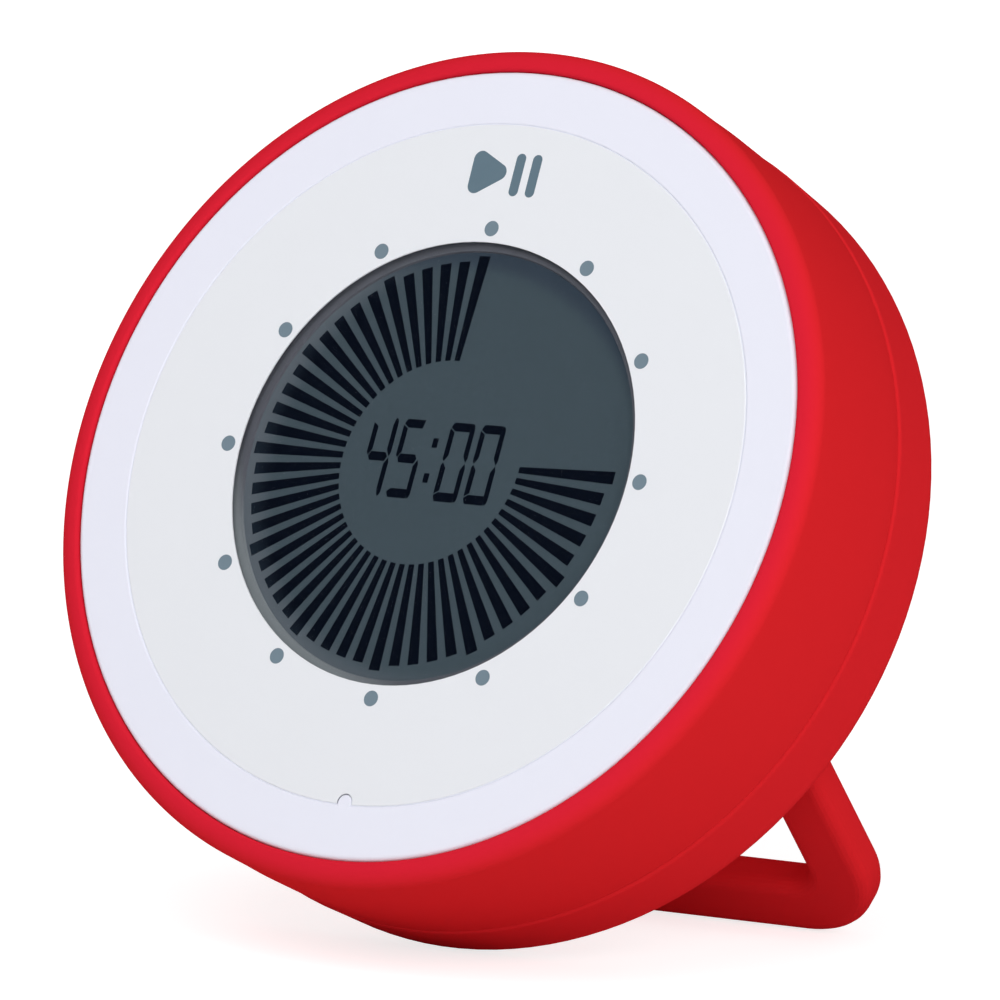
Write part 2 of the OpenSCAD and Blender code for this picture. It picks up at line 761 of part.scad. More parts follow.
module piezo_sounder() {
    color([0.85, 0.7, 0.35]) standing() {
        disc(piezo_r, z_piezo, z_piezo + 0.3, [0, piezo_y]);
        disc(piezo_r - 3, z_piezo + 0.3, z_piezo + 0.5, [0, piezo_y]);
    }
}

// ---- Encoder drive ----

module pinion_axle() {
    color([0.75, 0.75, 0.78]) standing()
        disc(axle_r, z_shell - 4, -7.8, [pinion_x, 0]);
}

module axle_clip() {
    color([0.6, 0.6, 0.62]) standing()
        tube(axle_r, 1.6, -7.9, -8.2, [pinion_x, 0]);
}

module encoder_pinion() {
    teeth_z = [z_gear[0] - 0.4, z_gear[1]];
    root_r = pitch_pinion - gear_m - 0.15;
    tip_r = pitch_pinion + gear_m - 0.1;
    radii = [root_r, pitch_pinion * cos(pressure_angle), pitch_pinion, tip_r - 0.3, tip_r];
    color([0.92, 0.92, 0.9]) standing()
        difference() {
            union() {
                translate([pinion_x, 0, 0])
                    plate(gear_outline(pinion_teeth, radii, 0), teeth_z[0], teeth_z[1]);
                disc(1.5, teeth_z[0] - eps, -8.3, [pinion_x, 0]);
            }
            disc(axle_r + 0.05, z_shell - 1, 0, [pinion_x, 0]);
        }
}

module sensor_magnet() {
    color([0.35, 0.35, 0.37]) standing()
        tube(1.5, 2.1, -8.6, -11.2, [pinion_x, 0]);
}

// ---- Batteries ----

// One AAA cell along x; its button end points to +x when dir is 1
module cell(y, dir) {
    round_r = 0.5;
    button = [1.9, 1];
    body_l = cell_l - button[1];
    profile = concat(
        [[0, 0], [cell_r - 0.9, 0], [cell_r - 0.9, 0.2]],
        arc([cell_r - round_r, 0.2 + round_r], round_r, -90, 0, 3),
        arc([cell_r - round_r, body_l - round_r], round_r, 0, 90, 3),
        [[cell_r - 1.3, body_l], [cell_r - 1.5, body_l - 0.3], [button[0] + 0.3, body_l - 0.3]],
        [[button[0], body_l], [button[0], cell_l], [0, cell_l]]
    );
    translate([dir * 1.2, y, cell_z])
        rotate([0, dir * 90, 0])
            translate([0, 0, -cell_l / 2])
                rotate_extrude() polygon(profile);
}

module battery_upper() {
    color([0.3, 0.45, 0.6]) standing() cell(cell_y + cell_dy, 1);
}

module battery_lower() {
    color([0.3, 0.45, 0.6]) standing() cell(cell_y - cell_dy, -1);
}

// Contact plate on the end wall of the tray, at the end that dir points to
module contact_plate(y, dir) {
    x0 = min(dir * tray[0], dir * (tray[0] - contact_t));
    block(x0, x0 + contact_t, y - contact_half, y + contact_half,
          cell_z - contact_half, cell_z + contact_half);
}

// Solder tab that passes through the roof of the tray
module solder_tab(y) {
    block(tray[0] - contact_t, tray[0], y - tab[0], y + tab[0], cell_z + contact_half - eps, tab[1]);
}

// Contact plate with a conical coil that presses on a cell's flat end
module spring_end(y, dir) {
    coil_r = [3.6, 1.5];
    wire_r = 0.25;
    foot = wire_r - 0.06;     // the first turn is pinched into the plate
    reach = 3.35;
    turns = 4;
    contact_plate(y, dir);
    translate([dir * (tray[0] - contact_t - foot), y, cell_z])
        rotate([0, -dir * 90, 0])
            wire(coil_path(coil_r, reach - foot - wire_r, turns, 0.1, 18), wire_r, [0, 0, 1]);
}

module spring_contacts() {
    color([0.78, 0.78, 0.76]) standing() {
        spring_end(cell_y + cell_dy, -1);
        spring_end(cell_y - cell_dy, 1);
        solder_tab(cell_y - cell_dy);
    }
}

module plate_contacts() {
    button_r = 2.2;
    low_y = cell_y - cell_dy + contact_half - eps;
    high_y = cell_y + cell_dy - contact_half;
    color([0.78, 0.78, 0.76]) standing() {
        for (dir = [1, -1])
            let (y = cell_y + dir * cell_dy, x = dir * (tray[0] - contact_t)) {
                contact_plate(y, dir);
                rod(button_r, min(x, x - dir), max(x, x - dir), y, cell_z);
            }
        solder_tab(cell_y + cell_dy);
        // strap that joins the two cells in series
        block(-tray[0], contact_t - tray[0], low_y, high_y, cell_z - 1.5, cell_z + 1.5);
    }
}

// ---- Leads ----

// Leads of the battery, the sounder and the volume board, each to its terminal
module leads() {
    r = 0.45;
    tab_x = tray[0] - contact_t;
    tab_z = tab[1] - 0.5;
    plug_z = z_board[1] - 1.5;
    plug_y = terminal_y + terminal[1];
    color([0.7, 0.15, 0.15]) standing() {
        // from the two solder tabs
        wire(lead_path([[tab_x, cell_y + cell_dy, tab_z], [16, cell_y + cell_dy, tab_z],
                        [6.8, -12, plug_z], [6.8, plug_y, plug_z]], 14), r, [0, 0, 1]);
        wire(lead_path([[tab_x, cell_y - cell_dy, tab_z], [17, cell_y - cell_dy, tab_z],
                        [9.2, -12, plug_z], [9.2, plug_y, plug_z]], 14), r, [0, 0, 1]);
        // from the sounder
        for (x = [-1, 1])
            wire(lead_path([[1.2 * x, piezo_y, z_piezo + 0.5], [1.2 * x, piezo_y, -10],
                            [x, -8, -10], [x, plug_y, plug_z]], 18), r, [1, 0, 0]);
        // from the volume board
        for (x = [-9.4, -8, -6.6])
            wire(lead_path([[x, -28.5, z_vol + 1], [x, -28.5, -12],
                            [x, -26, plug_z], [x, terminal_y - terminal[1], plug_z]], 12), r, [1, 0, 0]);
    }
}

// ---- Volume switch ----

module volume_board() {
    color([0.1, 0.35, 0.2]) standing()
        block(-11.5, 11.5, slider_y - 3.5, slider_y + 3.5, z_vol, z_vol + 1);
}

module volume_switch() {
    half = slider_slot[0] + 0.6;
    color([0.7, 0.7, 0.72]) standing()
        difference() {
            block(-half, half, slider_y - 2, slider_y + 2, z_floor + 0.2, z_vol);
            block(-slider_slot[0], slider_slot[0], slider_y - 1, slider_y + 1, z_floor - 1, z_vol - 0.6);
        }
}

module volume_slider() {
    cap_z = [z_back + 0.15, z_back + 0.95];
    color([0.9, 0.9, 0.92]) standing() {
        difference() {
            block(-slider_cap[0], slider_cap[0], slider_y - slider_cap[1], slider_y + slider_cap[1],
                  cap_z[0], cap_z[1]);
            // grip line
            block(-0.3, 0.3, slider_y - 3, slider_y + 3, z_back - 1, cap_z[0] + 0.25);
        }
        block(-slider_stem[0], slider_stem[0], slider_y - slider_stem[1], slider_y + slider_stem[1],
              cap_z[1] - eps, z_vol - 0.8);
    }
}

// ---- Stand ----

module stand() {
    mid_x = stand_w / 2 - bar_w / 2;
    bend_r = bar_corner_r - bar_w / 2;
    straight = stand_l - bend_r;
    color([0.78, 0.12, 0.15]) standing()
        translate([0, hinge_y, hinge_z])
            rotate([-stand_swing, 0, 0]) {
                both_sides() {
                    rod(stand_r, mid_x - bar_w / 2, mid_x + bar_w / 2, 0, 0);
                    rod(stub_r, mid_x + bar_w / 2 - eps, mid_x + bar_w / 2 + stub_l, 0, 0);
                    translate([mid_x, 0, 0])
                        rotate([-90, 0, 0])
                            linear_extrude(straight + eps) polygon(bar_section());
                    translate([mid_x - bend_r, straight, 0])
                        rotate_extrude(angle = 90)
                            translate([bend_r, 0]) polygon(bar_section());
                }
                translate([bend_r - mid_x - eps, stand_l, 0])
                    rotate([90, 0, 90])
                        linear_extrude(2 * (mid_x - bend_r + eps)) polygon(bar_section());
            }
}

grip_sleeve();
ring_core();
bezel_plate();
face_overlay();
lens();
chassis();
rear_shell();
battery_door();
door_screw();
case_screws();
magnets();
front_polariser();
front_glass();
rear_glass();
rear_reflector();
lcd_frame();
zebra_strip();
main_board();
board_screws();
controller();
board_parts();
hall_sensor();
tact_switch();
tact_plunger();
piezo_sounder();
pinion_axle();
axle_clip();
encoder_pinion();
sensor_magnet();
battery_upper();
battery_lower();
spring_contacts();
plate_contacts();
leads();
volume_board();
volume_switch();
volume_slider();
stand();
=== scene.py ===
import json
import math

import bmesh
import bpy
from mathutils import Matrix, Vector


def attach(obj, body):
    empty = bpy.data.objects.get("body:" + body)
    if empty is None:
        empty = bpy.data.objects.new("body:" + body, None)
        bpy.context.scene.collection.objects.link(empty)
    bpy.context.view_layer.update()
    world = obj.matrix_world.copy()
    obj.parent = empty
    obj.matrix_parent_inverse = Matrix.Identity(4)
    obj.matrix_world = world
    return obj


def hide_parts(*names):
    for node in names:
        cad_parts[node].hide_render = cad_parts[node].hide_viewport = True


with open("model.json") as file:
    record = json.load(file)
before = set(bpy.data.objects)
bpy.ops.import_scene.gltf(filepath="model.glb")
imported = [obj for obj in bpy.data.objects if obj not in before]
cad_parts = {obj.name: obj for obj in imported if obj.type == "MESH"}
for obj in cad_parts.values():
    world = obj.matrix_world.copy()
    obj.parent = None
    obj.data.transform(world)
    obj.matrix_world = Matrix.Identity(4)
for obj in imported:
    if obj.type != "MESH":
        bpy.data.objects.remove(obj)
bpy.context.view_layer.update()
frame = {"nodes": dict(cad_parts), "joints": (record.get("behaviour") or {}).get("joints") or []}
nodes = frame["nodes"]
joints = {j["name"]: j for j in frame["joints"]}
mm = 0.001
bodyBack = -25.8                           # the flat back, in mm behind the face

# the timer's own axes: right, up the face, out of the face
faceOut = Vector(joints["ring_twist"]["axis"]).normalized()
faceRight = Vector((1, 0, 0))
faceUp = faceOut.cross(faceRight).normalized()
jointDepth = 8 * mm                        # the ring joint's point lies this far behind the face
dialCentre = Vector(joints["ring_twist"]["pos_m"]) + faceOut * jointDepth
timerAxes = Matrix((faceRight, faceUp, faceOut)).transposed().to_4x4()
timerAxes.translation = dialCentre


def timerPoint(x, y, z):
    return timerAxes @ Vector((x * mm, y * mm, z * mm))


# mesh helpers

def newObject(name, bm, smoothAngle=35):
    bmesh.ops.remove_doubles(bm, verts=bm.verts, dist=1e-7)
    bmesh.ops.recalc_face_normals(bm, faces=bm.faces)
    mesh = bpy.data.meshes.new(name)
    bm.to_mesh(mesh)
    bm.free()
    mesh.shade_smooth()
    mesh.set_sharp_from_angle(angle=math.radians(smoothAngle))
    obj = bpy.data.objects.new(name, mesh)
    bpy.context.scene.collection.objects.link(obj)
    return obj


def arcPoints(centre, radii, start, end, steps):
    rx, ry = radii if isinstance(radii, tuple) else (radii, radii)
    points = []
    for i in range(steps + 1):
        a = math.radians(start + (end - start) * i / steps)
        points.append((centre[0] + rx * math.cos(a), centre[1] + ry * math.sin(a)))
    return points


def revolve(bm, profile, segments, closed=True, at=(0, 0)):
    rings = []
    for i in range(segments):
        a = 2 * math.pi * i / segments
        rings.append([bm.verts.new(timerPoint(at[0] + r * math.cos(a), at[1] + r * math.sin(a), z))
                      for r, z in profile])
    count = len(profile) if closed else len(profile) - 1
    for i in range(segments):
        here, there = rings[i], rings[(i + 1) % segments]
        for k in range(count):
            n = (k + 1) % len(profile)
            bm.faces.new((here[k], there[k], there[n], here[n]))


def circleVerts(bm, at, radius, z, segments):
    angles = [2 * math.pi * k / segments for k in range(segments)]
    return [bm.verts.new(timerPoint(at[0] + radius * math.cos(a), at[1] + radius * math.sin(a), z))
            for a in angles]


def turnedVerts(bm, outline, at, turn, z):
    c, s = math.cos(turn), math.sin(turn)
    return [bm.verts.new(timerPoint(at[0] + u * c - v * s, at[1] + u * s + v * c, z)) for u, v in outline]


def extrudeOutline(bm, outline, z0, z1, inPlace=timerPoint):
    low = [bm.verts.new(inPlace(x, y, z0)) for x, y in outline]
    high = [bm.verts.new(inPlace(x, y, z1)) for x, y in outline]
    bm.faces.new(high)
    bm.faces.new(list(reversed(low)))
    for i in range(len(outline)):
        n = (i + 1) % len(outline)
        bm.faces.new((low[i], low[n], high[n], high[i]))


def roundedOutline(corners, radius, steps=5):
    outline = []
    count = len(corners)
    for i in range(count):
        before, here, after = (Vector(corners[(i + k) % count]) for k in (-1, 0, 1))
        toBefore, toAfter = (before - here).normalized(), (after - here).normalized()
        half = math.acos(max(-1, min(1, toBefore.dot(toAfter)))) / 2
        centre = here + (toBefore + toAfter).normalized() * (radius / math.sin(half))
        first = here + toBefore * (radius / math.tan(half))
        last = here + toAfter * (radius / math.tan(half))
        a0 = math.atan2(first.y - centre.y, first.x - centre.x)
        a1 = math.atan2(last.y - centre.y, last.x - centre.x)
        turn = (a1 - a0 + math.pi) % (2 * math.pi) - math.pi
        outline += [(centre.x + radius * math.cos(a0 + turn * k / steps),
                     centre.y + radius * math.sin(a0 + turn * k / steps)) for k in range(steps + 1)]
    return outline


# shader node groups shared by the materials

def groupSockets(tree, inputs, outputs):
    for name, kind, value in inputs:
        socket = tree.interface.new_socket(name=name, in_out="INPUT", socket_type=kind)
        socket.default_value = value
    for name, kind in outputs:
        tree.interface.new_socket(name=name, in_out="OUTPUT", socket_type=kind)
    return tree.nodes.new("NodeGroupInput"), tree.nodes.new("NodeGroupOutput")


def mouldGrainGroup():
    tree = bpy.data.node_groups.new("mouldGrain", "ShaderNodeTree")
    given, result = groupSockets(
        tree,
        [("Scale", "NodeSocketFloat", 3000.0), ("Roughness", "NodeSocketFloat", 0.4),
         ("Spread", "NodeSocketFloat", 0.06)],
        [("Height", "NodeSocketFloat"), ("Roughness", "NodeSocketFloat")])
    link, make = tree.links.new, tree.nodes.new
    place = make("ShaderNodeTexCoord")
    fine = make("ShaderNodeTexNoise")
    fine.inputs["Detail"].default_value = 3
    link(place.outputs["Object"], fine.inputs["Vector"])
    link(given.outputs["Scale"], fine.inputs["Scale"])
    link(fine.outputs["Fac"], result.inputs["Height"])
    broad = make("ShaderNodeTexNoise")
    broad.inputs["Scale"].default_value = 90
    broad.inputs["Detail"].default_value = 4
    link(place.outputs["Object"], broad.inputs["Vector"])
    centred = make("ShaderNodeMath")
    centred.operation = "SUBTRACT"
    link(broad.outputs["Fac"], centred.inputs[0])
    centred.inputs[1].default_value = 0.5
    spread = make("ShaderNodeMath")
    spread.operation = "MULTIPLY_ADD"
    link(centred.outputs[0], spread.inputs[0])
    link(given.outputs["Spread"], spread.inputs[1])
    link(given.outputs["Roughness"], spread.inputs[2])
    link(spread.outputs[0], result.inputs["Roughness"])
    return tree


def toneDriftGroup():
    tree = bpy.data.node_groups.new("toneDrift", "ShaderNodeTree")
    given, result = groupSockets(
        tree,
        [("Color", "NodeSocketColor", (1, 1, 1, 1)), ("Amount", "NodeSocketFloat", 0.05),
         ("Scale", "NodeSocketFloat", 25.0)],
        [("Color", "NodeSocketColor")])
    link, make = tree.links.new, tree.nodes.new
    place = make("ShaderNodeTexCoord")
    cloud = make("ShaderNodeTexNoise")
    cloud.inputs["Detail"].default_value = 5
    link(place.outputs["Object"], cloud.inputs["Vector"])
    link(given.outputs["Scale"], cloud.inputs["Scale"])
    centred = make("ShaderNodeMath")
    centred.operation = "SUBTRACT"
    link(cloud.outputs["Fac"], centred.inputs[0])
    centred.inputs[1].default_value = 0.5
    swing = make("ShaderNodeMath")
    swing.operation = "MULTIPLY_ADD"
    link(centred.outputs[0], swing.inputs[0])
    link(given.outputs["Amount"], swing.inputs[1])
    swing.inputs[2].default_value = 1.0
    tint = make("ShaderNodeVectorMath")
    tint.operation = "SCALE"
    link(given.outputs["Color"], tint.inputs[0])
    link(swing.outputs[0], tint.inputs["Scale"])
    link(tint.outputs[0], result.inputs["Color"])
    return tree


def nearPlaceGroup():
    tree = bpy.data.node_groups.new("nearPlace", "ShaderNodeTree")
    given, result = groupSockets(
        tree,
        [("Place", "NodeSocketVector", (0, 0, 0)), ("Near", "NodeSocketFloat", 0.01),
         ("Far", "NodeSocketFloat", 0.02)],
        [("Beyond", "NodeSocketFloat")])
    link, make = tree.links.new, tree.nodes.new
    place = make("ShaderNodeTexCoord")
    away = make("ShaderNodeVectorMath")
    away.operation = "DISTANCE"
    link(place.outputs["Object"], away.inputs[0])
    link(given.outputs["Place"], away.inputs[1])
    step = make("ShaderNodeMapRange")
    step.interpolation_type = "SMOOTHSTEP"
    link(away.outputs["Value"], step.inputs["Value"])
    link(given.outputs["Near"], step.inputs["From Min"])
    link(given.outputs["Far"], step.inputs["From Max"])
    link(step.outputs["Result"], result.inputs["Beyond"])
    return tree


mouldGrain = mouldGrainGroup()
toneDrift = toneDriftGroup()
nearPlace = nearPlaceGroup()
print("shared shader groups made")


# materials

def linear(rgb):
    return tuple((c / 12.92 if c <= 0.04045 else ((c + 0.055) / 1.055) ** 2.4)
                 for c in (v / 255 for v in rgb)) + (1.0,)


def surface(name, rgb, roughness=0.4, grain=3000, bump=0.1, drift=0.05, driftScale=25, metallic=0.0,
            specular=0.5):
    material = bpy.data.materials.new(name)
    material.use_nodes = True
    tree = material.node_tree
    shader = tree.nodes["Principled BSDF"]
    shader.inputs["Metallic"].default_value = metallic
    shader.inputs["Specular IOR Level"].default_value = specular
    tone = tree.nodes.new("ShaderNodeGroup")
    tone.node_tree = toneDrift
    tone.inputs["Color"].default_value = linear(rgb)
    tone.inputs["Amount"].default_value = drift
    tone.inputs["Scale"].default_value = driftScale
    tree.links.new(tone.outputs["Color"], shader.inputs["Base Color"])
    mould = tree.nodes.new("ShaderNodeGroup")
    mould.node_tree = mouldGrain
    mould.inputs["Scale"].default_value = grain
    mould.inputs["Roughness"].default_value = roughness
    tree.links.new(mould.outputs["Roughness"], shader.inputs["Roughness"])
    relief = tree.nodes.new("ShaderNodeBump")
    relief.inputs["Strength"].default_value = bump
    relief.inputs["Distance"].default_value = 0.02 * mm
    tree.links.new(mould.outputs["Height"], relief.inputs["Height"])
    tree.links.new(relief.outputs["Normal"], shader.inputs["Normal"])
    return material


def shiftTone(material, shift):
    tree = material.node_tree
    shader = tree.nodes["Principled BSDF"]
    before = shader.inputs["Base Color"].links[0].from_socket
    beyond = tree.nodes.new("ShaderNodeGroup")
    beyond.node_tree = nearPlace
    beyond.inputs["Place"].default_value = shift["place"]
    beyond.inputs["Near"].default_value = shift["near"] * mm
    beyond.inputs["Far"].default_value = shift["far"] * mm
    share = tree.nodes.new("ShaderNodeMath")
    share.operation = "MULTIPLY"
    share.inputs[1].default_value = shift["amount"]
    tree.links.new(beyond.outputs["Beyond"], share.inputs[0])
    mix = tree.nodes.new("ShaderNodeMix")
    mix.data_type = "RGBA"
    tree.links.new(share.outputs[0], mix.inputs["Factor"])
    tree.links.new(before, mix.inputs["A"])
    mix.inputs["B"].default_value = linear(shift["rgb"])
    tree.links.new(mix.outputs["Result"], shader.inputs["Base Color"])


def clearLens():
    material = bpy.data.materials.new("clearLens")
    material.use_nodes = True
    tree = material.node_tree
    shader = tree.nodes["Principled BSDF"]
    shader.inputs["Base Color"].default_value = (0.97, 0.98, 1.0, 1)
    shader.inputs["Roughness"].default_value = 0.06
    shader.inputs["IOR"].default_value = 1.03
    shader.inputs["Transmission Weight"].default_value = 1.0
    through = tree.nodes.new("ShaderNodeBsdfTransparent")
    path = tree.nodes.new("ShaderNodeLightPath")
    either = tree.nodes.new("ShaderNodeMath")
    either.operation = "MAXIMUM"
    tree.links.new(path.outputs["Is Shadow Ray"], either.inputs[0])
    tree.links.new(path.outputs["Is Diffuse Ray"], either.inputs[1])
    mix = tree.nodes.new("ShaderNodeMixShader")
    tree.links.new(either.outputs[0], mix.inputs["Fac"])
    tree.links.new(shader.outputs[0], mix.inputs[1])
    tree.links.new(through.outputs[0], mix.inputs[2])
    tree.links.new(mix.outputs[0], tree.nodes["Material Output"].inputs["Surface"])
    return material


# painted light and shade: where a finish changes its tone, from the near to the far distance from a place,
# in mm
paintedLightShifts = {
    # painted sheen: the lip, which faces the lamps, is painted a pinker crimson than the side wall
    "lipSheenToSide": {"rgb": (217, 36, 41), "place": timerPoint(0, 0, 40), "near": 57.6, "far": 60.2,
                  "amount": 1.0},
    # painted reflection: the film and its ink are painted lighter along the left edge; painted shadow: the
    # film is darker under the upper right rim
    "filmPaintedReflection": {"rgb": (93, 100, 107), "place": timerPoint(2.5, 0.5, -1), "near": 20.9, "far": 24.4,
                 "amount": 0.9},
    "filmShade": {"rgb": (52, 62, 74), "place": timerPoint(-2, -7, -1), "near": 26.6, "far": 28.8,
                  "amount": 0.85},
    "inkPaintedReflection": {"rgb": (40, 50, 60), "place": timerPoint(2.5, 0.5, -1), "near": 21.6, "far": 24.4,
                "amount": 0.5},
    # painted highlight: the frame and its mask are painted paler at the lower left
    "framePaintedHighlight": {"rgb": (122, 128, 131), "place": timerPoint(8, 10, -1), "near": 31.6, "far": 34.8,
                  "amount": 1.0},
    "maskPaintedHighlight": {"rgb": (124, 130, 133), "place": timerPoint(8, 10, -1), "near": 32.3, "far": 35.0,
                 "amount": 1.0},
}

sleeveRed = surface("sleeveRed", (214, 34, 52), roughness=0.46, bump=0.12, drift=0.03, specular=0.0)
# painted sheen on the lip
shiftTone(sleeveRed, paintedLightShifts["lipSheenToSide"])
shellRed = surface("shellRed", (216, 36, 42), roughness=0.5, bump=0.18, drift=0.04, specular=0.0)
# dark red for the volume marks: painted shade standing in for moulded relief
markShadeRed = surface("markShadeRed", (128, 22, 26), roughness=0.5, bump=0.1, drift=0.1, driftScale=400,
                  specular=0.06)
ringWhite = surface("ringWhite", (232, 233, 245), roughness=0.4, bump=0.05, drift=0.012, specular=0.2)
faceWhite = surface("faceWhite", (230, 232, 237), roughness=0.3, bump=0.03, drift=0.012, specular=0.2)
printGrey = surface("printGrey", (112, 130, 142), roughness=0.4, grain=6000, bump=0.05, drift=0.05,
                    driftScale=900, specular=0.15)
signGrey = surface("signGrey", (94, 115, 128), roughness=0.4, grain=6000, bump=0.05, drift=0.05,
                   driftScale=900, specular=0.15)
coreGrey = surface("coreGrey", (58, 58, 62), roughness=0.5, bump=0.2)
chassisGrey = surface("chassisGrey", (200, 200, 205), roughness=0.5, bump=0.2)
acetal = surface("acetal", (236, 235, 228), roughness=0.38, bump=0.1)
lcdFilm = surface("lcdFilm", (66, 78, 85), roughness=0.5, grain=7000, bump=0.04, drift=0.16,
                  driftScale=1500, specular=0.0)
# painted reflection along the left edge and painted shadow under the upper right rim
shiftTone(lcdFilm, paintedLightShifts["filmPaintedReflection"])
shiftTone(lcdFilm, paintedLightShifts["filmShade"])
lcdInk = surface("lcdInk", (9, 14, 24), roughness=0.5, grain=7000, bump=0.02, drift=0.2,
                 driftScale=1200, specular=0.0)
# painted reflection along the left edge
shiftTone(lcdInk, paintedLightShifts["inkPaintedReflection"])
lcdGlass = surface("lcdGlass", (150, 168, 168), roughness=0.1, bump=0.0)
frameDark = surface("frameDark", (80, 83, 90), roughness=0.5, grain=5000, bump=0.08, specular=0.05)
# painted highlight at the lower left
shiftTone(frameDark, paintedLightShifts["framePaintedHighlight"])
maskGrey = surface("maskGrey", (88, 90, 97), roughness=0.5, grain=5000, bump=0.05, specular=0.02)
# painted highlight at the lower left
shiftTone(maskGrey, paintedLightShifts["maskPaintedHighlight"])
zebraRubber = surface("zebraRubber", (150, 84, 74), roughness=0.6, bump=0.2)
boardGreen = surface("boardGreen", (26, 84, 48), roughness=0.3, bump=0.1, drift=0.2, driftScale=400)
resinBlack = surface("resinBlack", (24, 24, 27), roughness=0.25, bump=0.1)
tinnedParts = surface("tinnedParts", (176, 172, 164), roughness=0.35, bump=0.15, metallic=1.0)
screwSteel = surface("screwSteel", (176, 176, 181), roughness=0.3, grain=5000, bump=0.15, metallic=1.0)
brightSteel = surface("brightSteel", (205, 205, 208), roughness=0.18, bump=0.05, metallic=1.0)
nickel = surface("nickel", (172, 174, 179), roughness=0.3, bump=0.25, drift=0.14, driftScale=500,
                 metallic=1.0)
brass = surface("brass", (214, 178, 98), roughness=0.28, bump=0.08, metallic=1.0)
cellBlue = surface("cellBlue", (70, 104, 140), roughness=0.3, bump=0.05, metallic=0.3)
sliderWhite = surface("sliderWhite", (228, 229, 232), roughness=0.4, bump=0.12)
leadRed = surface("leadRed", (176, 40, 40), roughness=0.4, bump=0.1)
lensClear = clearLens()
print("materials made")

nodeMaterials = {
    "grip_sleeve": sleeveRed, "ring_core": coreGrey, "bezel_plate": ringWhite, "face_overlay": faceWhite,
    "lens": lensClear, "chassis": chassisGrey, "rear_shell": shellRed, "battery_door": shellRed,
    "door_screw": screwSteel, "case_screws": screwSteel, "magnets": nickel, "front_polariser": lcdFilm,
    "front_glass": lcdGlass, "rear_glass": lcdGlass, "rear_reflector": lcdFilm, "lcd_frame": frameDark,
    "zebra_strip": zebraRubber, "main_board": boardGreen, "board_screws": screwSteel,
    "controller": resinBlack, "board_parts": tinnedParts, "hall_sensor": resinBlack,
    "tact_switch": resinBlack, "tact_plunger": acetal, "piezo_sounder": brass, "pinion_axle": brightSteel,
    "axle_clip": brightSteel, "encoder_pinion": acetal, "sensor_magnet": nickel, "battery_upper": cellBlue,
    "battery_lower": cellBlue, "spring_contacts": brightSteel, "plate_contacts": brightSteel,
    "leads": leadRed, "volume_board": boardGreen, "volume_switch": tinnedParts,
    "volume_slider": sliderWhite, "stand": shellRed,
}
for name, node in nodes.items():
    node.data.materials.clear()
    node.data.materials.append(nodeMaterials[name])
print("frame nodes dressed:", len(nodes))


# twist ring's outer sleeve

sleeve = {"radius": 43.396, "sideRadius": 43.33, "inner": 41.2, "throat": 40.95, "throatDepth": 3.15,
          "crown": 0.195, "lip": (1.97, 1.65), "depth": 16.65, "draftFrom": 8.0, "draft": 2.2,
          "sideDepths": (11, 14), "innerEdge": 0.45, "rearEdge": 0.1, "segments": 256}


def sideRadius(depth):
    s = sleeve
    return s["sideRadius"] - max(depth - s["draftFrom"], 0) * math.tan(math.radians(s["draft"]))


def makeSleeve():
    s = sleeve
    throatCentre = (s["throat"] + s["innerEdge"], s["crown"] - s["innerEdge"])
    lipCentre = (s["radius"] - s["lip"][0], s["crown"] - s["lip"][1])
    rearCentre = (sideRadius(s["depth"]) - s["rearEdge"], s["rearEdge"] - s["depth"])
    profile = [(s["inner"], -s["depth"]), (s["inner"], -s["throatDepth"]), (s["throat"], -s["throatDepth"])]
    profile += arcPoints(throatCentre, s["innerEdge"], 180, 90, 8)
    profile += arcPoints(lipCentre, s["lip"], 90, 0, 20)
    profile += [(s["sideRadius"], -s["draftFrom"] * k / 3) for k in (2, 3)]
    profile += [(sideRadius(depth), -depth) for depth in s["sideDepths"]]
    profile += arcPoints(rearCentre, s["rearEdge"], -s["draft"], -90, 6)
    bm = bmesh.new()
    revolve(bm, profile, s["segments"])
    obj = newObject("gripSleeve", bm, 50)
    obj.data.materials.append(sleeveRed)
    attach(obj, "twist_ring")
    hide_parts("grip_sleeve")


makeSleeve()
print("sleeve made")


# display segments; centre, across, along and taper set them a little askew on the dial

display = {"centre": (-0.90, 0.28), "across": (0.9934, 0.014), "along": (0.0066, 1.0066),
           "taper": (-8.1e-4, 5e-5), "surface": -1.0, "ink": 0.02, "pitch": 6, "shown": 46,
           "tickInner": 10.52, "tickShort": 20.86, "tickLong": 21.42, "tickWidths": (0.62, 1.27),
           "middle": 0.18, "digits": ((-7.765, "4"), (-4.206, "5"), (1.385, "0"), (4.97, "0")),
           "colon": (0.03, 1.81), "colonSize": (0.62, 0.97)}
segmentsOf = {"0": "abcdef", "4": "bcfg", "5": "acdfg"}
segmentShapes = {    # from a digit's left side and its middle
    "a": ((0.08, 3.56), (0.36, 4.06), (2.48, 4.06), (2.3, 3.17), (0.6, 3.17)),
    "b": ((2.55, 4.06), (2.7, 3.98), (2.82, 3.78), (2.88, 3.5), (2.88, 0.5), (2.72, 0.07), (2.33, 0.72),
          (2.33, 3.3), (2.42, 3.75)),
    "d": ((0, -3.47), (0.5, -3.12), (2.3, -3.12), (2.46, -4.07), (0.25, -4.07)),
    "e": ((0.17, -0.07), (0.6, -0.6), (0.58, -2.93), (0, -3.3), (0, -0.35)),
    "f": ((0.02, 3.44), (0.58, 3.06), (0.58, 0.7), (0.18, 0.06), (0, 0.3)),
    "g": ((0.27, 0), (0.5, 0.46), (2.27, 0.46), (2.53, 0.02), (2.3, -0.46), (0.48, -0.46)),
}
segmentShapes["c"] = tuple((x, -y) for x, y in segmentShapes["b"])


def displayPoint(x, y, z):
    d = display
    w = 1 + d["taper"][0] * x + d["taper"][1] * y
    return timerPoint(d["centre"][0] + (d["across"][0] * x + d["across"][1] * y) / w,
                      d["centre"][1] + (d["along"][0] * x + d["along"][1] * y) / w, z)


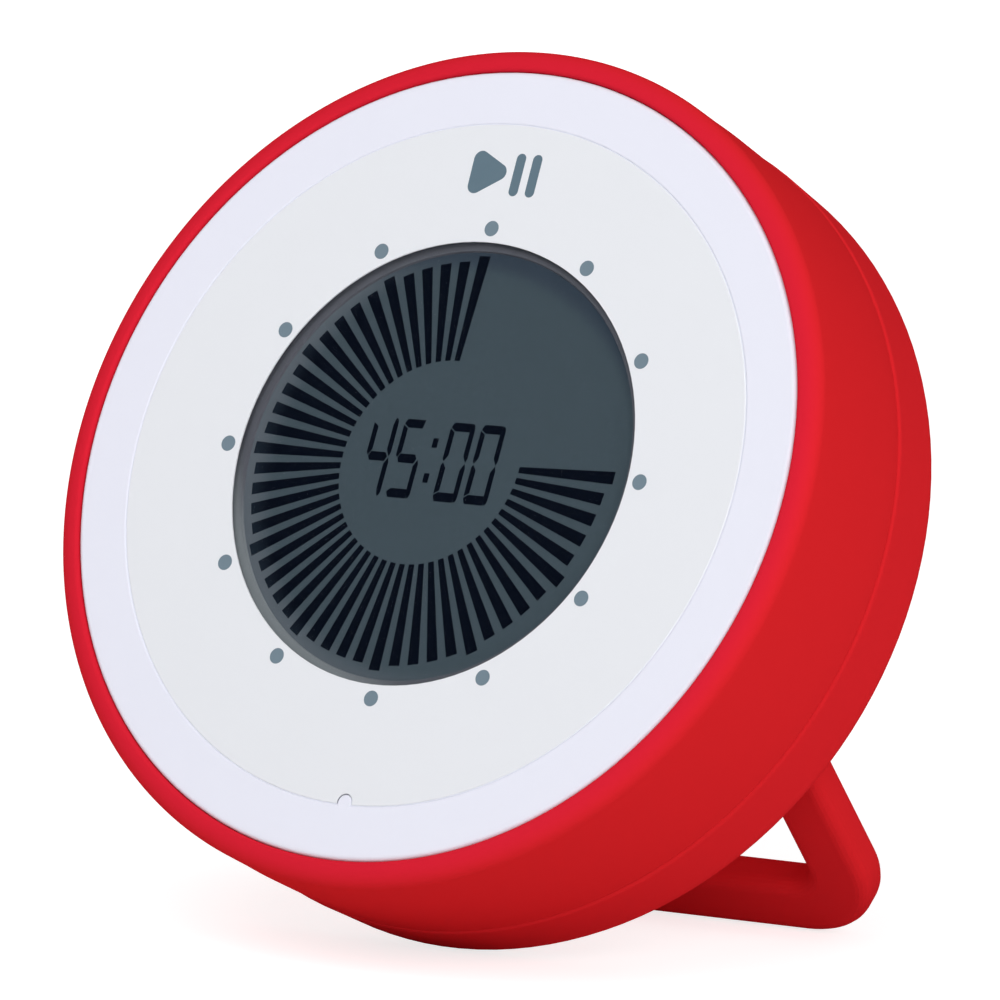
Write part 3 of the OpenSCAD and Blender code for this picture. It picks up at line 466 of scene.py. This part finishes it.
def tickOutline(index):
    d = display
    a = math.radians(90 + index * d["pitch"])
    outer = d["tickLong"] if index % 5 == 0 else d["tickShort"]
    along, across = Vector((math.cos(a), math.sin(a))), Vector((-math.sin(a), math.cos(a)))
    inner, w0, w1 = d["tickInner"], d["tickWidths"][0] / 2, d["tickWidths"][1] / 2
    w1 = w0 + (w1 - w0) * (outer - inner) / (d["tickLong"] - inner)
    return [tuple(along * r + across * w) for r, w in ((inner, -w0), (outer, -w1), (outer, w1), (inner, w0))]


def makeDisplay():
    d = display
    low, high = d["surface"], d["surface"] + d["ink"]
    ticks, digits = bmesh.new(), bmesh.new()
    for index in range(d["shown"]):
        extrudeOutline(ticks, tickOutline(index), low, high, displayPoint)
    for left, digit in d["digits"]:
        for letter in segmentsOf[digit]:
            outline = [(left + x, d["middle"] + y) for x, y in segmentShapes[letter]]
            extrudeOutline(digits, outline, low, high, displayPoint)
    w, h = d["colonSize"][0] / 2, d["colonSize"][1] / 2
    for side in (-1, 1):
        x, y = d["colon"][0], d["middle"] + side * d["colon"][1]
        extrudeOutline(digits, [(x - w, y - h), (x + w, y - h), (x + w, y + h), (x - w, y + h)], low, high,
                       displayPoint)
    for name, bm in (("displayTicks", ticks), ("displayDigits", digits)):
        obj = newObject(name, bm, 20)
        obj.data.materials.append(lcdInk)
        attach(obj, "case")


makeDisplay()
print("display segments made")


# print on the face: minute dots and the play/pause sign

facePrint = {"thick": 0.012, "dotRing": 24.42, "dot": 0.81, "dots": 12,
             "play": ((-4.15, 32.92), (-4.07, 27.23), (0.94, 30.37)), "playRound": 0.856,
             "bars": (1.4, 3.33), "barWidth": 1.08, "barSpan": (27.91, 32.38), "barRound": 0.98}


def makePrint():
    p = facePrint
    dots, sign = bmesh.new(), bmesh.new()
    for i in range(p["dots"]):
        a = math.radians(90 - 360 / p["dots"] * i)
        centre = (p["dotRing"] * math.cos(a), p["dotRing"] * math.sin(a))
        extrudeOutline(dots, arcPoints(centre, p["dot"], 0, 345, 23), 0, p["thick"])
    extrudeOutline(sign, roundedOutline(p["play"], p["playRound"], 10), 0, p["thick"])
    half, (y0, y1) = p["barWidth"] / 2, p["barSpan"]
    for x in p["bars"]:
        corners = [(x - half, y0), (x + half, y0), (x + half, y1), (x - half, y1)]
        extrudeOutline(sign, roundedOutline(corners, half * p["barRound"]), 0, p["thick"])
    for name, bm, material in (("minuteDots", dots, printGrey), ("playPauseSign", sign, signGrey)):
        obj = newObject(name, bm, 20)
        obj.data.materials.append(material)
        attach(obj, "face")


makePrint()
print("print made")


# glue line round the printed disc, and the lining of the display's opening; radius and height of each corner

discSeam = {"profile": ((35.295, -0.45), (35.295, -0.09), (35.365, -0.09), (35.365, -0.45)),
            "segments": 256, "finish": ringWhite, "body": "face", "slot": "overlay_white"}
displayMask = {"profile": ((22.2, -0.995), (22.3, -0.79), (23.6, -0.79), (23.6, -0.83)),
               "segments": 192, "finish": maskGrey, "body": "case", "slot": "frame_black"}


def makeRing(name, ring):
    bm = bmesh.new()
    revolve(bm, ring["profile"], ring["segments"])
    obj = newObject(name, bm)
    obj.data.materials.append(ring["finish"])
    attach(obj, ring["body"])


makeRing("discSeam", discSeam)
makeRing("displayMask", displayMask)
print("seam and mask made")


# screws with cross recesses

screws = {
    "case_screws": {
        "piece": "caseScrewsCross", "places": ((25, 21), (-25, 21), (22.5, -25.5), (-22.5, -25.5)),
        "turns": (20, 65, 40, 5), "back": -25.3, "thick": 1.5, "head": 2.0, "edge": 0.45,
        "shank": 1.1, "tip": -8.7, "arm": 1.1, "width": 0.42, "recess": 0.8},
    "door_screw": {
        "piece": "doorScrewCross", "places": ((0, 4),),
        "turns": (20,), "back": -25.7, "thick": 0.7, "head": 1.8, "edge": 0.2,
        "shank": 0.9, "tip": -20.8, "arm": 1.05, "width": 0.4, "recess": 0.5},
}
# shared by all: the recess's rim and its narrower foot as shares of the arm, and the shank's point
screwForm = {"rim": 1.22, "foot": 0.62, "pointLength": 1.2, "pointRadius": 0.25, "segments": 32}


def crossOutline(arm, width, grow=1.0):
    h, a = width / 2 * grow, arm * grow
    return [(a, -h), (a, h), (h, h), (h, a), (-h, a), (-h, h), (-a, h), (-a, -h), (-h, -h), (-h, -a),
            (h, -a), (h, -h)]


def addScrew(bm, s, at, turn):
    f = screwForm
    back, under, rim = s["back"], s["back"] + s["thick"], s["arm"] * f["rim"]
    profile = [(rim, back)]
    profile += arcPoints((s["head"] - s["edge"], back + s["edge"]), s["edge"], -90, 0, 5)
    profile += [(s["head"], under), (s["shank"], under), (s["shank"], s["tip"] - f["pointLength"]),
                (f["pointRadius"], s["tip"])]
    revolve(bm, profile, f["segments"], False, at)
    outer = circleVerts(bm, at, rim, back, f["segments"])
    mouth = turnedVerts(bm, crossOutline(s["arm"], s["width"]), at, turn, back)
    foot = turnedVerts(bm, crossOutline(s["arm"], s["width"], f["foot"]), at, turn, back + s["recess"])
    edges = []
    for loop in (outer, mouth):
        edges += [bm.edges.new((loop[k], loop[(k + 1) % len(loop)])) for k in range(len(loop))]
    bmesh.ops.triangle_fill(bm, edges=edges, use_beauty=True)
    for k in range(len(mouth)):
        n = (k + 1) % len(mouth)
        bm.faces.new((mouth[k], mouth[n], foot[n], foot[k]))
    bm.faces.new(foot)
    bm.faces.new(circleVerts(bm, at, f["pointRadius"], s["tip"], f["segments"]))


def makeScrews(node, s):
    bm = bmesh.new()
    for at, turn in zip(s["places"], s["turns"]):
        addScrew(bm, s, at, math.radians(turn))
    obj = newObject(s["piece"], bm, 30)
    obj.data.materials.append(screwSteel)
    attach(obj, "case")
    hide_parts(node)


for node, values in screws.items():
    makeScrews(node, values)
print("screws made")


# magnets with chamfered rims, flush with the back

magnetDiscs = {"places": ((19, 27), (-19, 27), (16, -29.5), (-16, -29.5)), "radius": 4.48, "thick": 3.0,
               "chamfer": 0.3, "middle": 0.4, "segments": 48}


def makeMagnets():
    m = magnetDiscs
    bm = bmesh.new()
    r, c, back, front = m["radius"], m["chamfer"], bodyBack, bodyBack + m["thick"]
    for place in m["places"]:
        profile = [(m["middle"], back), (r - c, back)]
        profile += arcPoints((r - c, back + c), c, -90, 0, 4)
        profile += [(r, front - c), (r - c, front), (m["middle"], front)]
        revolve(bm, profile, m["segments"], False, place)
        for z in (back, front):
            bm.faces.new(circleVerts(bm, place, m["middle"], z, m["segments"]))
    obj = newObject("magnetDiscs", bm, 40)
    obj.data.materials.append(nickel)
    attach(obj, "case")
    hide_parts("magnets")


makeMagnets()
print("magnets made")


# volume marks beside the slider: low on one side, high on the other, as thin dark red sheets, a painted
# shade in place of moulded relief

volumeMarks = {"bottom": -31.9, "low": ((-7.4, 0.9),), "high": ((6.6, 0.9), (7.8, 1.8), (9.0, 2.7)),
               "width": 0.7, "round": 0.12, "thick": 0.03}


def makeVolumeMarks():
    v = volumeMarks
    bm = bmesh.new()
    half, bottom = v["width"] / 2, v["bottom"]
    for x, tall in v["low"] + v["high"]:
        corners = [(x - half, bottom), (x + half, bottom), (x + half, bottom + tall),
                   (x - half, bottom + tall)]
        extrudeOutline(bm, roundedOutline(corners, v["round"]), bodyBack - v["thick"], bodyBack)
    obj = newObject("volumeMarks", bm, 20)
    obj.data.materials.append(markShadeRed)
    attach(obj, "case")


makeVolumeMarks()
print("volume marks made")


# camera

cameraView = {"azimuth": 34.38, "elevation": 8.04, "distance": 1180.2, "lens": 433.15, "sensor": 36,
              "aimRight": 6.709, "aimUp": -3.688}


def makeCamera():
    v = cameraView
    az, el = math.radians(v["azimuth"]), math.radians(v["elevation"])
    back = Vector((math.cos(el) * math.sin(az), -math.cos(el) * math.cos(az), math.sin(el)))
    right = Vector((math.cos(az), math.sin(az), 0))
    up = back.cross(right)
    camera = bpy.data.objects.new("camera", bpy.data.cameras.new("camera"))
    bpy.context.scene.collection.objects.link(camera)
    camera.location = dialCentre + back * v["distance"] * mm
    target = dialCentre + (right * v["aimRight"] + up * v["aimUp"]) * mm
    camera.rotation_euler = (target - camera.location).to_track_quat("-Z", "Y").to_euler()
    camera.data.lens = v["lens"]
    camera.data.sensor_width = v["sensor"]
    camera.data.clip_start = 0.05
    bpy.context.scene.camera = camera


makeCamera()


# light, floor and background

lighting = {
    "world": 0.24, "seen": 1.0,
    "lamps": {
        "frontHighLamp": {"at": (0.1, -0.9, 1.1), "size": 0.9, "power": 7.1},
        "rightLamp": {"at": (1.1, -0.35, 0.5), "size": 0.9, "power": 4.0},
        "rightFrontLamp": {"at": (0.85, -0.9, 0.5), "size": 0.9, "power": 4.9},
        "leftLamp": {"at": (-1.1, -0.1, 0.5), "size": 0.9, "power": 2.5},
        "backLamp": {"at": (1.1, 0.5, 0.6), "size": 0.9, "power": 0.9, "sheen": False},
        "lowBackLamp": {"at": (-0.5, 1.1, 0.14), "size": 0.22, "power": 2.4, "sheen": False},
    },
}
# in metres; the lamps' light fades far out, so the floor's glow rises from near to far
floorPlane = {"half": 3.0, "level": -0.0002, "tone": (235, 235, 235), "toneSeen": (202, 202, 202),
              "glow": 0.745, "glowFar": 1.0, "near": 0.5, "far": 1.6}


def whiteToEye(tree, seen, unseen):
    path = tree.nodes.new("ShaderNodeLightPath")
    first = tree.nodes.new("ShaderNodeMath")
    second = tree.nodes.new("ShaderNodeMath")
    first.operation = second.operation = "MAXIMUM"
    tree.links.new(path.outputs["Is Camera Ray"], first.inputs[0])
    tree.links.new(path.outputs["Is Glossy Ray"], first.inputs[1])
    tree.links.new(first.outputs[0], second.inputs[0])
    tree.links.new(path.outputs["Is Transmission Ray"], second.inputs[1])
    level = tree.nodes.new("ShaderNodeMapRange")
    level.inputs["To Min"].default_value = unseen
    level.inputs["To Max"].default_value = seen
    tree.links.new(second.outputs[0], level.inputs["Value"])
    return level.outputs["Result"]


def makeLight():
    scene = bpy.context.scene
    scene.view_settings.view_transform = "Standard"
    world = bpy.data.worlds.new("studio")
    scene.world = world
    world.use_nodes = True
    background = world.node_tree.nodes["Background"]
    background.inputs["Color"].default_value = (1, 1, 1, 1)
    world.node_tree.links.new(whiteToEye(world.node_tree, lighting["seen"], lighting["world"]),
                              background.inputs["Strength"])
    for name, lamp in lighting["lamps"].items():
        data = bpy.data.lights.new(name, "AREA")
        data.shape = "DISK"
        data.size = lamp["size"]
        data.energy = lamp["power"]
        obj = bpy.data.objects.new(name, data)
        scene.collection.objects.link(obj)
        obj.location = Vector(lamp["at"])
        obj.rotation_euler = (dialCentre - obj.location).to_track_quat("-Z", "Y").to_euler()
        obj.visible_glossy = lamp.get("sheen", True)     # the two behind leave no glare on the side wall


def makeFloor():
    f = floorPlane
    bm = bmesh.new()
    bm.faces.new([bm.verts.new((x * f["half"], y * f["half"], f["level"]))
                  for x, y in ((-1, -1), (1, -1), (1, 1), (-1, 1))])
    floor = newObject("floor", bm)
    material = bpy.data.materials.new("paleFloor")
    material.use_nodes = True
    tree = material.node_tree
    shader = tree.nodes["Principled BSDF"]
    tone = tree.nodes.new("ShaderNodeMix")
    tone.data_type = "RGBA"
    tone.inputs["A"].default_value = linear(f["tone"])
    tone.inputs["B"].default_value = linear(f["toneSeen"])
    tree.links.new(whiteToEye(tree, 1.0, 0.0), tone.inputs["Factor"])
    tree.links.new(tone.outputs["Result"], shader.inputs["Base Color"])
    shader.inputs["Roughness"].default_value = 0.9
    shader.inputs["Specular IOR Level"].default_value = 0.0
    shader.inputs["Emission Color"].default_value = (1, 1, 1, 1)
    beyond = tree.nodes.new("ShaderNodeGroup")
    beyond.node_tree = nearPlace
    beyond.inputs["Near"].default_value = f["near"]
    beyond.inputs["Far"].default_value = f["far"]
    glow = tree.nodes.new("ShaderNodeMapRange")
    glow.inputs["To Min"].default_value = f["glow"]
    glow.inputs["To Max"].default_value = f["glowFar"]
    tree.links.new(beyond.outputs["Beyond"], glow.inputs["Value"])
    shown = tree.nodes.new("ShaderNodeMath")
    shown.operation = "MULTIPLY"
    tree.links.new(glow.outputs["Result"], shown.inputs[0])
    tree.links.new(whiteToEye(tree, 1.0, 0.0), shown.inputs[1])
    tree.links.new(shown.outputs[0], shader.inputs["Emission Strength"])
    floor.data.materials.append(material)


makeLight()
makeFloor()
print("camera, lamps and floor made")
